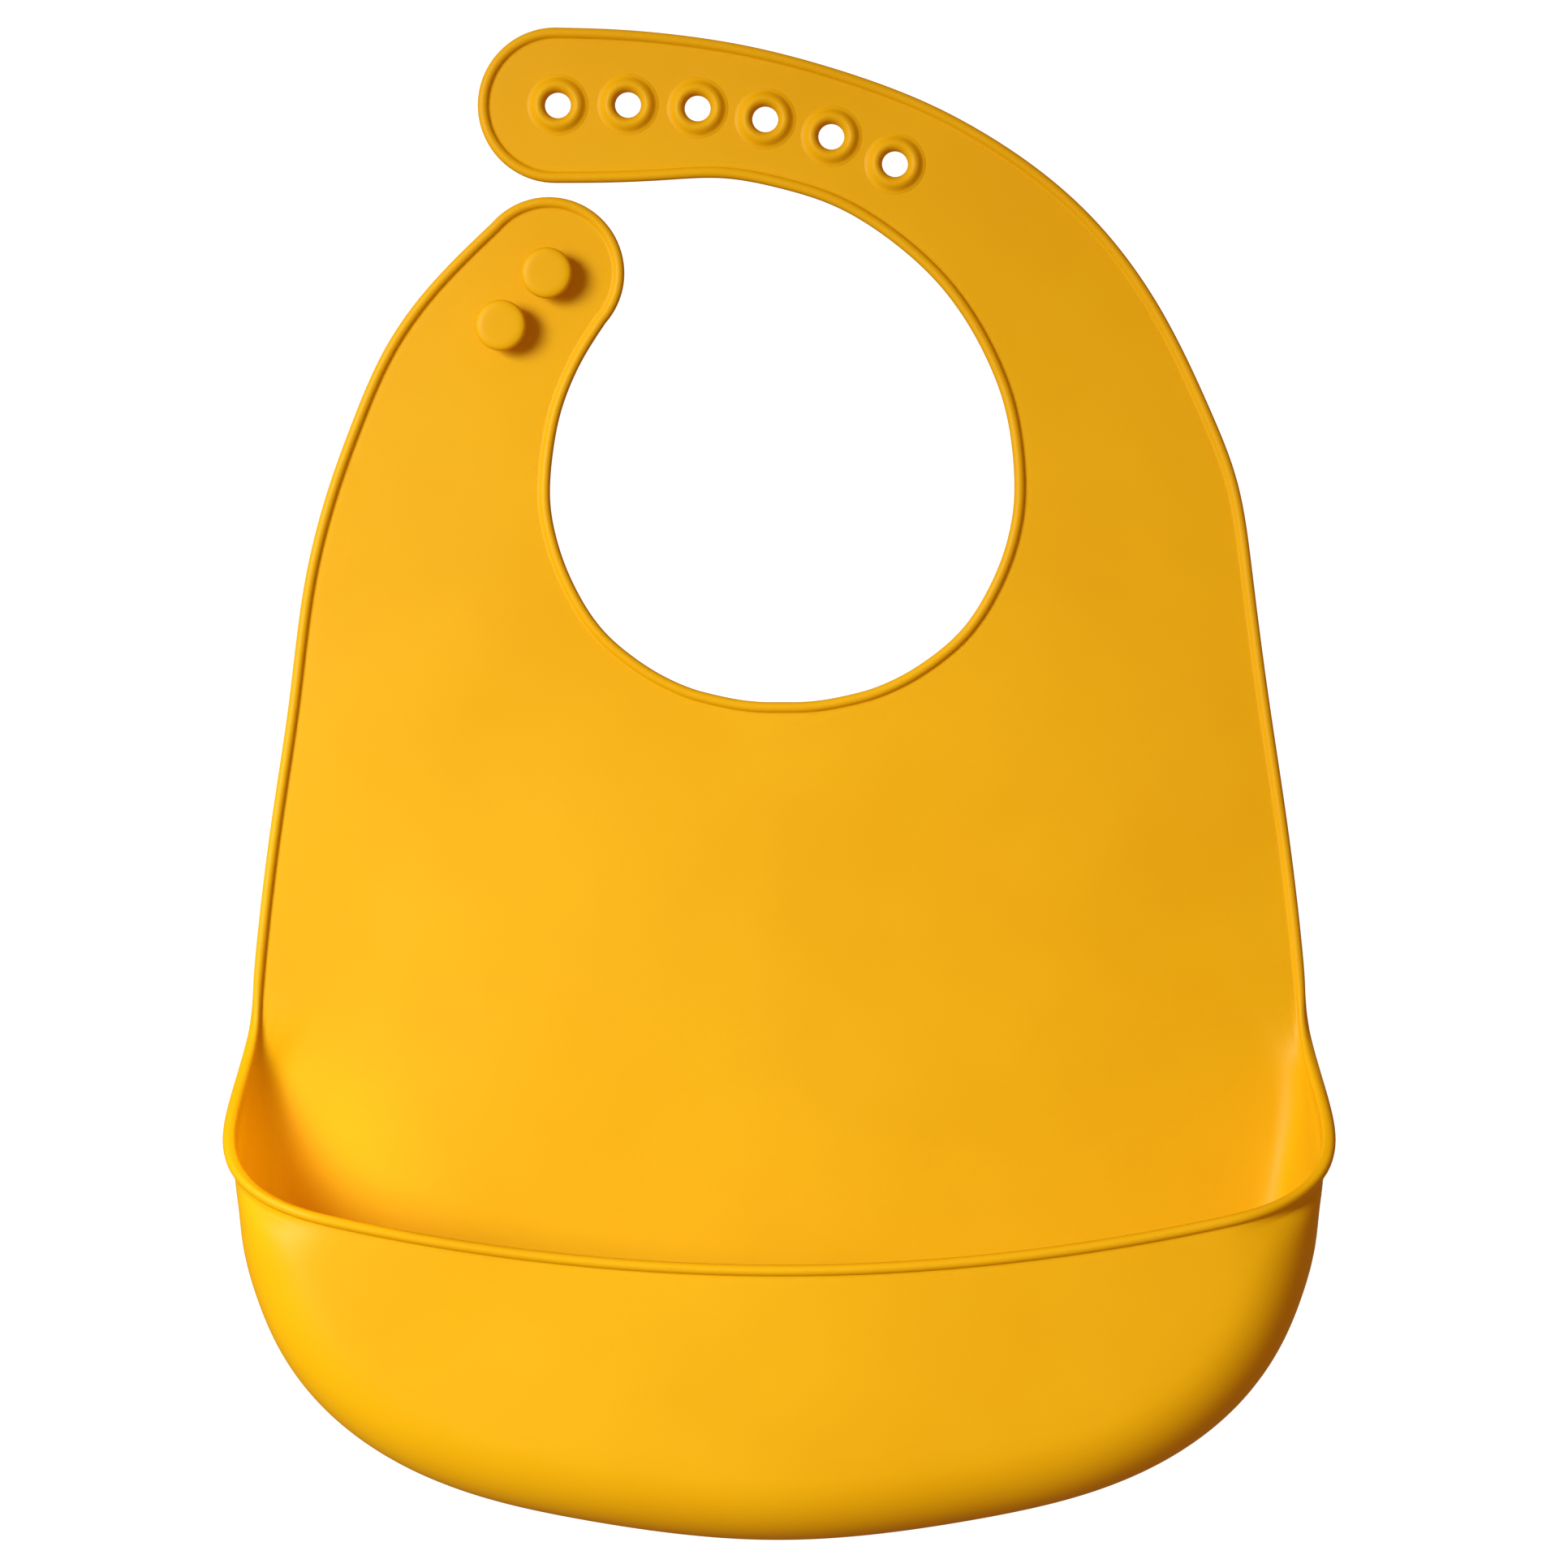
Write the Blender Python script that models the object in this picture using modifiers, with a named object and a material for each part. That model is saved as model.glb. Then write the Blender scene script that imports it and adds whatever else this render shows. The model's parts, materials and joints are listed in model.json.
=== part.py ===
"""A baby's silicone bib: a thin C-shaped sheet with beaded edges, two neck straps that fasten
with studs in eyelets, and a deep catch pocket. It lies on its back: the back face is on z = 0,
the wearer's front is +Z, the neck end is +Y. The origin is under the centre of the outline."""
import math

import bmesh
import bpy
import numpy as np
from mathutils import Matrix, Vector

MM = 0.001                      # every length below is in millimetres

# sheet
SHEET = 1.8                     # thickness of the silicone
BEAD_WIDTH = 2.8                # rolled edge, measured in from the rim
BEAD_HEIGHT = 2.8               # top of the rolled edge above the back face
NECK_CENTRE_X = 0.6             # the neck opening sits a little right of the outline's centre

# ribs across the band: neck edge x, y, then outer edge x, y
LONG_STRAP_RIBS = [
    (-45.0, 119.1, -45.0, 150.3),
    (-34.0, 119.2, -34.5, 150.0),
    (-23.0, 119.7, -23.8, 149.2),
    (-11.8, 120.1, -9.5, 147.2),
    (0.7, 117.9, 7.3, 143.2),
    (13.5, 113.3, 24.5, 137.4),
    (24.9, 105.6, 38.1, 130.9),
    (36.1, 93.6, 59.2, 115.8),
    (43.0, 80.9, 76.5, 94.1),
    (46.4, 69.0, 87.0, 72.7),
]
PANEL_RIBS = [                  # right half, shoulder to bottom centre; mirrored but for the shoulder
    (47.3, 57.0, 92.6, 57.0),
    (46.2, 48.5, 95.3, 39.5),
    (43.2, 39.8, 98.6, 14.5),
    (38.4, 31.4, 102.2, -10.0),
    (32.6, 25.4, 104.9, -32.0),
    (26.5, 21.1, 106.2, -48.0),
    (20.5, 18.1, 106.0, -66.0),
    (15.5, 16.5, 101.9, -90.0),
    (11.0, 15.5, 92.8, -114.0),
    (7.0, 14.9, 70.3, -132.9),
    (3.6, 14.7, 38.0, -142.1),
    (NECK_CENTRE_X, 14.7, 0.0, -146.1),
]
SHORT_STRAP_RIBS = [
    (-46.1, 57.0, -90.9, 57.0),
    (-45.2, 67.0, -86.1, 70.4),
    (-43.2, 75.3, -79.5, 85.3),
    (-39.5, 83.7, -69.5, 99.2),
    (-34.9, 91.0, -57.7, 111.0),
]

# where the silicone flexes: ribs that carry a fold line
EYELET_GAP_RIB_23 = 2
EYELET_GAP_RIB_45 = 4
EYELET_ROW_END_RIB = 6
NAPE_RIB = 8
SHOULDER_RIB = 10
FOLD_Y = -44.0                  # the bib folds straight across, just above the pocket
STRAP_GAP = 0.8                 # half the clear gap at a strap's fold line
FOLD_GAP = 2.3                  # half the clear gap at the apron's fold line

# fastening
EYELETS = [(-44.5, 134.7), (-30.4, 134.8), (-16.4, 134.1), (-2.8, 131.9), (10.5, 128.4), (23.3, 122.9)]
EYELET_BORE = 5.8               # mean width of a hole that narrows from the collar's crest to its throat
EYELET_SLEEVE = 7.4             # the part of the collar that lines the hole
EYELET_RIM = 10.6
EYELET_RISE = 1.5               # the collar's height above its seat
STUDS = [("stud_upper", -46.5, 100.5), ("stud_lower", -55.7, 90.0)]
STUD_CAP = 10.2
STUD_CAP_THICKNESS = 2.6
STUD_STEM = 5.4
STUD_TOP = 7.8                  # leaves room for a collared strap under the cap

# catch pocket
POCKET_DEPTH = 38.0             # outer face of the front wall above the back face
POCKET_ROUND = 14.0             # outer radius between wall and front
DRAFT = math.radians(11)        # the wall leans outward
EAR_START = -50.7               # where the side edge leaves the sheet
EAR_SLOPE = 0.877               # how far the side edge leans back per unit of height
BEAD_FADE = 6.0                 # the sheet's bead fades over this length above the ears
RIM_SAG = 0.00126               # the mouth dips as a parabola towards its middle
RIM_MIDDLE = -95.2
RIM_BEAD = 1.4
BEAD_END = 2.5                  # the mouth's bead stops short of the round by this
CLEAR = 0.3                     # gap between neighbouring pieces
EAR_RIBS = 6                    # ribs from the bottom centre to the top of the pocket's wall
FRONT_RIBS = 4.5                # ribs from the bottom centre to beyond the front wall's corner
WALL_SPARE = 0.3                # extra wall, in ribs, cut off by the sloping side edge

YELLOW = (0.89, 0.44, 0.012, 1.0)
ROUGHNESS = 0.5

PARTS = "silicone_bib"
CUTTERS = "cutters"


def clear_scene():
    for obj in list(bpy.data.objects):
        bpy.data.objects.remove(obj)
    for name in (PARTS, CUTTERS):
        bpy.context.scene.collection.children.link(bpy.data.collections.new(name))


def silicone(name):
    """Each piece has its own material of the same matte silicone."""
    material = bpy.data.materials.new(name + "_silicone")
    material.use_nodes = True
    surface = material.node_tree.nodes["Principled BSDF"]
    surface.inputs["Base Color"].default_value = YELLOW
    surface.inputs["Roughness"].default_value = ROUGHNESS
    return material


def smooth_spline(knots, values, at):
    """Natural cubic spline through the values at the knots, read at each place in `at`."""
    knots, values, at = np.asarray(knots), np.asarray(values, float), np.asarray(at)
    steps = np.diff(knots)
    slopes = np.diff(values, axis=0) / steps[:, None]
    count = len(knots)
    system = np.eye(count)
    right = np.zeros_like(values)
    for k in range(1, count - 1):
        system[k, k - 1:k + 2] = steps[k - 1], 2 * (steps[k - 1] + steps[k]), steps[k]
        right[k] = 6 * (slopes[k] - slopes[k - 1])
    bend = np.linalg.solve(system, right)
    k = np.clip(np.searchsorted(knots, at, side="right") - 1, 0, count - 2)
    step = steps[k][:, None]
    here = (at - knots[k])[:, None]
    left = step - here
    straight = values[k] * left / step + values[k + 1] * here / step
    curve = bend[k] * (left ** 3 / step - step * left) + bend[k + 1] * (here ** 3 / step - step * here)
    return straight + curve / 6


def all_ribs():
    """The ribs in order: long strap, right half, left half, short strap."""
    left = [(2 * NECK_CENTRE_X - a, b, -c, d) for a, b, c, d in reversed(PANEL_RIBS[1:-1])]
    return np.array(LONG_STRAP_RIBS + PANEL_RIBS + left + SHORT_STRAP_RIBS)


RIBS = all_ribs()
MIDDLES = (RIBS[:, :2] + RIBS[:, 2:]) / 2
STATIONS = np.concatenate([[0], np.cumsum(np.linalg.norm(np.diff(MIDDLES, axis=0), axis=1))])
BOTTOM_RIB = len(LONG_STRAP_RIBS) + len(PANEL_RIBS) - 1
LEFT_SHOULDER_RIB = 2 * BOTTOM_RIB - SHOULDER_RIB
STUD_RIB = LEFT_SHOULDER_RIB + 2
LAST_RIB = len(RIBS) - 1


def rib_at(place):
    """Rib ends at fractional rib numbers."""
    numbers = np.arange(len(RIBS))
    return smooth_spline(STATIONS, RIBS, np.interp(place, numbers, STATIONS))


def hinge_line(number):
    """A rib's middle and its direction towards the outer edge."""
    rib = RIBS[number]
    along = rib[2:] - rib[:2]
    return (rib[:2] + rib[2:]) / 2, along / np.linalg.norm(along)


def tip_arc(rib, outward, steps=14):
    """Half circle from the rib's neck end round to its outer end, on the side that faces outward."""
    centre = (rib[:2] + rib[2:]) / 2
    spoke = rib[:2] - centre
    side = np.array([-spoke[1], spoke[0]])
    if side @ outward < 0:
        side = -side
    turns = [math.pi * k / steps for k in range(1, steps)]
    return [centre + spoke * math.cos(a) + side * math.sin(a) for a in turns]


def sheet_outline(first, last, per_rib):
    """The closed edge of the sheet between two rib numbers: points, the spine point that each
    is joined to, and the spine."""
    count = int(round((last - first) * per_rib)) + 1
    ribs = rib_at(np.linspace(first, last, count))
    spine = (ribs[:, :2] + ribs[:, 2:]) / 2
    edge = [(ribs[k, 2:], k) for k in range(count)]
    if last == LAST_RIB:
        arc = tip_arc(ribs[-1], spine[-1] - spine[-2])
        edge += [(p, count - 1) for p in reversed(arc)]
    edge += [(ribs[k, :2], k) for k in reversed(range(count))]
    if first == 0:
        arc = tip_arc(ribs[0], spine[0] - spine[1])
        edge += [(p, 0) for p in arc]
    return np.array([p for p, _ in edge]), [k for _, k in edge], spine


def bead_share(point):
    """1 along a free edge, 0 where the sheet runs on into the pocket's wall."""
    above = (point[1] - EAR_START) / BEAD_FADE
    return min(max(above, 0.0), 1.0)


def edge_section(share):
    """Distance in from the edge and height, from the back face round the bead to the front."""
    corner = 0.6
    section = [(BEAD_WIDTH, 0), (corner, 0), (0, corner), (0, BEAD_HEIGHT - corner)]
    section += [(corner, BEAD_HEIGHT), (BEAD_WIDTH - 0.9, BEAD_HEIGHT), (BEAD_WIDTH, SHEET)]
    return [(d, z if z <= SHEET else SHEET + (z - SHEET) * share) for d, z in section]


def sheet_mesh(first, last, per_rib=2, fill=3):
    """A closed piece of the beaded sheet between two rib numbers."""
    edge, spokes, spine = sheet_outline(first, last, per_rib)
    count = len(edge)
    along = np.roll(edge, -1, axis=0) - np.roll(edge, 1, axis=0)
    along /= np.linalg.norm(along, axis=1)[:, None]
    inward = np.stack([-along[:, 1], along[:, 0]], axis=1)
    area = np.sum(edge[:, 0] * np.roll(edge[:, 1], -1) - edge[:, 1] * np.roll(edge[:, 0], -1))
    inward *= math.copysign(1, area)
    bm = bmesh.new()
    back = [bm.verts.new((x * MM, y * MM, 0)) for x, y in spine]
    front = [bm.verts.new((x * MM, y * MM, SHEET * MM)) for x, y in spine]
    rows = []
    for point, normal, k in zip(edge, inward, spokes):
        section = edge_section(bead_share(point))
        path = [(*(point + normal * d), z) for d, z in section]
        inner = point + normal * BEAD_WIDTH
        steps = [j / fill for j in range(1, fill)]
        climb = [(*(inner + (spine[k] - inner) * f), SHEET) for f in steps]
        sink = [(*(inner + (spine[k] - inner) * f), 0) for f in reversed(steps)]
        row = [bm.verts.new(Vector(p) * MM) for p in sink + path + climb]
        rows.append([back[k]] + row + [front[k]])
    for i in range(count):
        here, there = rows[i], rows[(i + 1) % count]
        for k in range(len(here) - 1):
            corners = [here[k], here[k + 1], there[k + 1], there[k]]
            corners = list(dict.fromkeys(corners))
            if len(corners) > 2:
                bm.faces.new(corners)
    bmesh.ops.recalc_face_normals(bm, faces=bm.faces)
    return bm


def trim(bm, point, normal):
    """Cuts away what lies past a plane and closes the cut."""
    place = Vector((point[0], point[1], 0)) * MM
    geometry = bm.verts[:] + bm.edges[:] + bm.faces[:]
    bmesh.ops.bisect_plane(bm, geom=geometry, plane_co=place, plane_no=Vector((*normal, 0)),
                           clear_outer=True, dist=1e-7)
    open_edges = [e for e in bm.edges if e.is_boundary]
    bmesh.ops.triangle_fill(bm, edges=open_edges, use_beauty=True, use_dissolve=False)
    bmesh.ops.recalc_face_normals(bm, faces=bm.faces)


def trim_at_rib(bm, number, keep):
    """Cuts at a fold line, short of it by the strap's gap. keep is +1 for the side with higher
    rib numbers and -1 for the side with lower ones."""
    middle, across = hinge_line(number)
    ahead = MIDDLES[min(number + 1, LAST_RIB)] - MIDDLES[number - 1]
    forward = np.array([-across[1], across[0]])
    if forward @ ahead < 0:
        forward = -forward
    trim(bm, middle + forward * keep * STRAP_GAP, -forward * keep)


def add_object(name, mesh, body):
    """Links a finished mesh as a named piece that moves with a body."""
    obj = bpy.data.objects.new(name, mesh)
    bpy.data.collections[PARTS].objects.link(obj)
    mesh.materials.append(silicone(name))
    attach(obj, body)
    return obj


def attach(obj, body):
    obj.parent = body
    obj.matrix_parent_inverse = Matrix.Translation(-Vector(body["joint_point"]))


def joint_empty(name, x, y, z, parent=None):
    """A marker on a joint's axis; the pieces that move with the joint are its children."""
    empty = bpy.data.objects.new(name, None)
    empty.empty_display_size = 0.01
    bpy.data.collections[PARTS].objects.link(empty)
    point = Vector((x, y, z)) * MM
    empty["joint_point"] = point
    empty.location = point
    if parent:
        empty.parent = parent
        empty.matrix_parent_inverse = Matrix.Translation(-Vector(parent["joint_point"]))
    return empty


def strap_empty(name, number, parent):
    middle, _ = hinge_line(number)
    return joint_empty(name, middle[0], middle[1], SHEET / 2, parent)


def finished(bm, name):
    mesh = bpy.data.meshes.new(name)
    bm.to_mesh(mesh)
    bm.free()
    mesh.shade_smooth()
    mesh.set_sharp_from_angle(angle=math.radians(35))
    return mesh


def strap_piece(name, body, first, last, cut_first, cut_last):
    """A length of strap between two ribs, cut back from the fold lines at its ends."""
    low = first - 1 if cut_first else first
    high = last + 1 if cut_last else last
    bm = sheet_mesh(low, high)
    if cut_first:
        trim_at_rib(bm, first, 1)
    if cut_last:
        trim_at_rib(bm, last, -1)
    return add_object(name, finished(bm, name), body)


def apron_upper_panel(body):
    """The bib's chest panel around the neck opening, down to the fold line."""
    bm = sheet_mesh(SHOULDER_RIB - 1, LEFT_SHOULDER_RIB + 1)
    trim_at_rib(bm, SHOULDER_RIB, 1)
    trim_at_rib(bm, LEFT_SHOULDER_RIB, -1)
    trim(bm, (0, FOLD_Y + FOLD_GAP), (0, -1))
    add_object("apron_upper_panel", finished(bm, "apron_upper_panel"), body)


def apron_lower_panel(body):
    """The panel behind the pocket, up to the fold line."""
    bm = sheet_mesh(SHOULDER_RIB, LEFT_SHOULDER_RIB)
    trim(bm, (0, FOLD_Y - FOLD_GAP), (0, 1))
    add_object("apron_lower_panel", finished(bm, "apron_lower_panel"), body)


def turned(name, profile, x, y, body, steps=24):
    """A round piece: its profile, top to bottom in radius and height, spun about a vertical axis."""
    mesh = bpy.data.meshes.new(name)
    points = [(r * MM, 0, z * MM) for r, z in profile]
    closed = profile[0][0] > 0
    edges = [(k, (k + 1) % len(points)) for k in range(len(points) if closed else len(points) - 1)]
    mesh.from_pydata(points, edges, [])
    obj = add_object(name, mesh, body)
    obj.location = (x * MM, y * MM, 0)
    screw = obj.modifiers.new("turn", "SCREW")
    screw.steps = steps
    screw.render_steps = steps
    screw.use_merge_vertices = True
    screw.merge_threshold = 0.00001
    screw.use_smooth_shade = True
    return obj


def stud(name, x, y, body):
    """A flat-topped button on a short stem, standing on the short strap."""
    stem, cap = STUD_STEM / 2, STUD_CAP / 2
    foot = SHEET + CLEAR
    under = STUD_TOP - STUD_CAP_THICKNESS
    profile = [(0, STUD_TOP), (cap - 1.3, STUD_TOP), (cap - 0.4, STUD_TOP - 0.4), (cap, STUD_TOP - 1.3)]
    profile += [(cap, under + 0.9), (cap - 0.5, under + 0.2), (cap - 1.2, under)]
    profile += [(stem, under - 0.3), (stem, foot + 0.6), (stem + 0.6, foot), (0, foot)]
    turned(name, profile, x, y, body)


def eyelet_rim(number, x, y, body):
    """A rounded collar lining a hole in the long strap; its sleeve reaches the back face."""
    bore, sleeve, rim = EYELET_BORE / 2, EYELET_SLEEVE / 2, EYELET_RIM / 2
    seat = SHEET + CLEAR
    top = seat + EYELET_RISE
    profile = [(bore + 1.0, top), (rim - 0.8, top), (rim, top - 0.7), (rim - 0.1, seat)]
    profile += [(sleeve, seat), (sleeve, 0.1), (bore + 0.3, 0.1), (bore, 0.4), (bore, top - 0.9)]
    turned(f"eyelet_rim_{number}", profile, x, y, body)


def pierce(strap, x, y):
    """Cuts the seat for one eyelet's sleeve through the strap."""
    radius = EYELET_SLEEVE / 2 + CLEAR
    bpy.ops.mesh.primitive_cylinder_add(vertices=24, radius=radius * MM, depth=10 * MM,
                                        location=(x * MM, y * MM, 0))
    cutter = bpy.context.object
    cutter.name = f"{strap.name}_hole"
    for collection in list(cutter.users_collection):
        collection.objects.unlink(cutter)
    bpy.data.collections[CUTTERS].objects.link(cutter)
    cutter.hide_render = True
    cutter.display_type = "WIRE"
    cut = strap.modifiers.new("eyelet", "BOOLEAN")
    cut.object = cutter
    cut.operation = "DIFFERENCE"


def base_line(count, start_rib, end_rib):
    """Foot of the pocket's wall along the outer edge, with outward normals."""
    foot = rib_at(np.linspace(start_rib, end_rib, count))[:, 2:]
    along = np.gradient(foot, axis=0)
    along /= np.linalg.norm(along, axis=1)[:, None]
    outward = np.stack([along[:, 1], -along[:, 0]], axis=1)
    if outward[0][0] < 0:
        outward = -outward
    return foot, outward


def wall_profile():
    """Lean out from the foot and height of the wall and of the round, outer face."""
    centre_z = POCKET_DEPTH - POCKET_ROUND
    start_z = centre_z - POCKET_ROUND * math.sin(DRAFT)
    centre_out = start_z * math.tan(DRAFT) - POCKET_ROUND * math.cos(DRAFT)
    heights = [SHEET + CLEAR, start_z / 2, start_z]
    rows = [(z * math.tan(DRAFT), z) for z in heights]
    for degrees in (10, 32, 54, 76, 90):
        a = math.radians(degrees)
        rows.append((centre_out + POCKET_ROUND * math.cos(a), centre_z + POCKET_ROUND * math.sin(a)))
    return rows


def pocket_gusset(body):
    """Side and bottom wall of the pocket with the round that leads to its front, an open surface
    cut along the sloping side edges and thickened inward."""
    ear_rib = BOTTOM_RIB - EAR_RIBS
    foot, outward = base_line(49, ear_rib - WALL_SPARE, 2 * BOTTOM_RIB - ear_rib + WALL_SPARE)
    bm = bmesh.new()
    rows = [[bm.verts.new(Vector((*(p + n * lean), z)) * MM) for p, n in zip(foot, outward)]
            for lean, z in wall_profile()]
    for low, high in zip(rows, rows[1:]):
        for k in range(len(low) - 1):
            bm.faces.new([low[k], high[k], high[k + 1], low[k + 1]])
    slope = Vector((0, 1, EAR_SLOPE)).normalized()
    geometry = bm.verts[:] + bm.edges[:] + bm.faces[:]
    bmesh.ops.bisect_plane(bm, geom=geometry, plane_co=Vector((0, EAR_START, 0)) * MM,
                           plane_no=slope, clear_outer=True, dist=1e-7)
    obj = add_object("pocket_gusset", finished(bm, "pocket_gusset"), body)
    thicken = obj.modifiers.new("thickness", "SOLIDIFY")
    thicken.thickness = SHEET * MM
    thicken.offset = -1
    thicken.use_even_offset = True


def rim_y(x):
    return RIM_MIDDLE + RIM_SAG * x * x


def plate_outline():
    """Front wall's outline inside the round: along the round, then back along the mouth."""
    foot, outward = base_line(61, BOTTOM_RIB - FRONT_RIBS, BOTTOM_RIB + FRONT_RIBS)
    inset = wall_profile()[-1][0] - 2 * CLEAR
    side = foot + outward * inset
    side = side[side[:, 1] < rim_y(side[:, 0]) - 1]
    end = abs(side[0][0])
    mouth = [(x, rim_y(x)) for x in np.linspace(side[-1][0], end, 17)]
    return [tuple(p) for p in side], mouth


def curve_object(name, points, cyclic):
    curve = bpy.data.curves.new(name, "CURVE")
    spline = curve.splines.new("POLY")
    spline.points.add(len(points) - 1)
    for place, (x, y, z) in zip(spline.points, points):
        place.co = (x * MM, y * MM, z * MM, 1)
    spline.use_cyclic_u = cyclic
    obj = bpy.data.objects.new(name, curve)
    bpy.data.collections[CUTTERS].objects.link(obj)
    return obj


def welded_mesh(obj, name):
    """The evaluated curve as a closed mesh; the curve is removed."""
    bpy.context.view_layer.update()
    evaluated = obj.evaluated_get(bpy.context.evaluated_depsgraph_get())
    mesh = bpy.data.meshes.new_from_object(evaluated)
    mesh.name = name
    mesh.transform(obj.matrix_world)
    mesh.materials.clear()
    bpy.data.objects.remove(obj)
    bm = bmesh.new()
    bm.from_mesh(mesh)
    bmesh.ops.remove_doubles(bm, verts=bm.verts, dist=1e-6)
    bmesh.ops.recalc_face_normals(bm, faces=bm.faces)
    bm.to_mesh(mesh)
    bm.free()
    return mesh


def pocket_front_wall(body):
    """The flat front of the pocket with the rolled bead along its mouth."""
    side, mouth = plate_outline()
    middle_z = POCKET_DEPTH - SHEET / 2
    plate = curve_object("front_plate", [(x, y, 0) for x, y in side + mouth[1:-1]], True)
    plate.data.dimensions = "2D"
    plate.data.fill_mode = "BOTH"
    plate.data.extrude = SHEET / 2 * MM
    plate.location.z = middle_z * MM
    wall = add_object("pocket_front_wall", welded_mesh(plate, "pocket_front_wall"), body)
    reach = 1 - BEAD_END / abs(mouth[0][0])
    path = [(x * reach, rim_y(x * reach), middle_z) for x, _ in mouth]
    bead = curve_object("mouth_bead", path, False)
    bead.data.dimensions = "3D"
    bead.data.bevel_depth = RIM_BEAD * MM
    bead.data.bevel_resolution = 2
    bead.data.use_fill_caps = True
    roll = bpy.data.objects.new("mouth_roll", welded_mesh(bead, "mouth_roll"))
    bpy.data.collections[CUTTERS].objects.link(roll)
    roll.hide_render = True
    roll.display_type = "WIRE"
    join = wall.modifiers.new("bead", "BOOLEAN")
    join.operation = "UNION"
    join.object = roll


def build():
    clear_scene()
    ground = joint_empty("lower_apron", 0, 0, 0)
    apron = joint_empty("upper_apron", 0, FOLD_Y, SHEET / 2, ground)
    pocket = joint_empty("pocket_front", 0, RIM_MIDDLE, POCKET_DEPTH, ground)
    shoulder = strap_empty("long_shoulder", SHOULDER_RIB, apron)
    nape = strap_empty("long_nape", NAPE_RIB, shoulder)
    inner = strap_empty("long_inner", EYELET_ROW_END_RIB, nape)
    middle = strap_empty("long_middle", EYELET_GAP_RIB_45, inner)
    tip = strap_empty("long_tip", EYELET_GAP_RIB_23, middle)
    short = strap_empty("short_shoulder", LEFT_SHOULDER_RIB, apron)
    short_end = strap_empty("short_end", STUD_RIB, short)

    apron_lower_panel(ground)
    pocket_gusset(ground)
    pocket_front_wall(pocket)
    apron_upper_panel(apron)
    strap_piece("long_strap_shoulder", shoulder, NAPE_RIB, SHOULDER_RIB, True, True)
    strap_piece("long_strap_nape", nape, EYELET_ROW_END_RIB, NAPE_RIB, True, True)
    ends = [
        strap_piece("long_strap_tip", tip, 0, EYELET_GAP_RIB_23, False, True),
        strap_piece("long_strap_end_middle", middle, EYELET_GAP_RIB_23, EYELET_GAP_RIB_45, True, True),
        strap_piece("long_strap_end_inner", inner, EYELET_GAP_RIB_45, EYELET_ROW_END_RIB, True, True),
    ]
    bodies = [tip, tip, middle, middle, inner, inner]
    for k, (x, y) in enumerate(EYELETS):
        pierce(ends[k // 2], x, y)
        eyelet_rim(k + 1, x, y, bodies[k])
    strap_piece("short_strap_shoulder", short, LEFT_SHOULDER_RIB, STUD_RIB, True, True)
    strap_piece("short_strap_end", short_end, STUD_RIB, LAST_RIB, True, False)
    for name, x, y in STUDS:
        stud(name, x, y, short_end)


build()
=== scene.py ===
# %% [markdown]
# A silicone baby bib, made as a lesson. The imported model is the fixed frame: its bodies, joints and
# solids say where everything is. This script grows the soft silicone skin around them: one thin
# sheet with a rolled edge that runs from strap to strap and rises into the catch pocket, six
# collared eyelets, and two studs.

# %% The frame
import json
import math

import bmesh
import bpy
import numpy as np
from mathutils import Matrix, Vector


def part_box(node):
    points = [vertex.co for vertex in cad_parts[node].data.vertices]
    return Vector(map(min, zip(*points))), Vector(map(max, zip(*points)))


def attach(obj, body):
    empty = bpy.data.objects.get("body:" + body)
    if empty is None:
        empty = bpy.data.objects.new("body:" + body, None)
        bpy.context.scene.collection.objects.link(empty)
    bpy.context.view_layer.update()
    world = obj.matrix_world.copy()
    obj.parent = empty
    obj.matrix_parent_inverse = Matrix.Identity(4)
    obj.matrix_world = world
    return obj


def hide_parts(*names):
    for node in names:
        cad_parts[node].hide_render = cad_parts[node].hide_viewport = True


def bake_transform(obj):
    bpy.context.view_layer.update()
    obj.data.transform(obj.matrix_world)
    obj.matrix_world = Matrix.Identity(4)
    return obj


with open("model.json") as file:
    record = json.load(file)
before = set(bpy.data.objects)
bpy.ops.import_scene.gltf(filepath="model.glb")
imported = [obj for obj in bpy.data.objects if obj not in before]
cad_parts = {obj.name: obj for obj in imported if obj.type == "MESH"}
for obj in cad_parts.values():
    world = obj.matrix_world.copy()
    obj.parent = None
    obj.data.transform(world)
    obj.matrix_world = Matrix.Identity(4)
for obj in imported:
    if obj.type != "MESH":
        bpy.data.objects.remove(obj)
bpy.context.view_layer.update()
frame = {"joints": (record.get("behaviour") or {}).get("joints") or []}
joints = {joint["name"]: joint for joint in frame["joints"]}
MM = 0.001

# %% [markdown]
# Lengths are in millimetres, as a mould maker writes them. The solids give the sheet's thickness,
# the depth of the pocket and the places of eyelets and studs. The outline is a row of ribs across
# the C-shaped band, from the long strap's tip round the neck to the short strap's tip: each has
# a point on the neck edge and one on the outer edge. Few ribs and a smooth spline keep the edge fair.

# %% Sizes and ribs
SHEET = 1.8              # thickness of the silicone
NECK_CENTRE_X = 0.6      # the neck opening sits a little off the outline's middle
POCKET_DEPTH = round(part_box("pocket_gusset")[1][2] / MM, 1)
POCKET_ROUND = 14.0      # outer radius between the pocket's wall and its front
FOOT_ROUND = 8.0         # outer radius where the wall leaves the back panel
DRAFT = math.radians(11)
EAR_START = -50.7        # where the side edge leaves the sheet
EAR_SLOPE = 0.877
EAR_EASE = 6.0           # half the length over which the edge eases into its climb
RIM_MIDDLE = -95.2       # the pocket's mouth, a shallow parabola
RIM_SAG = 0.00126

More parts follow.
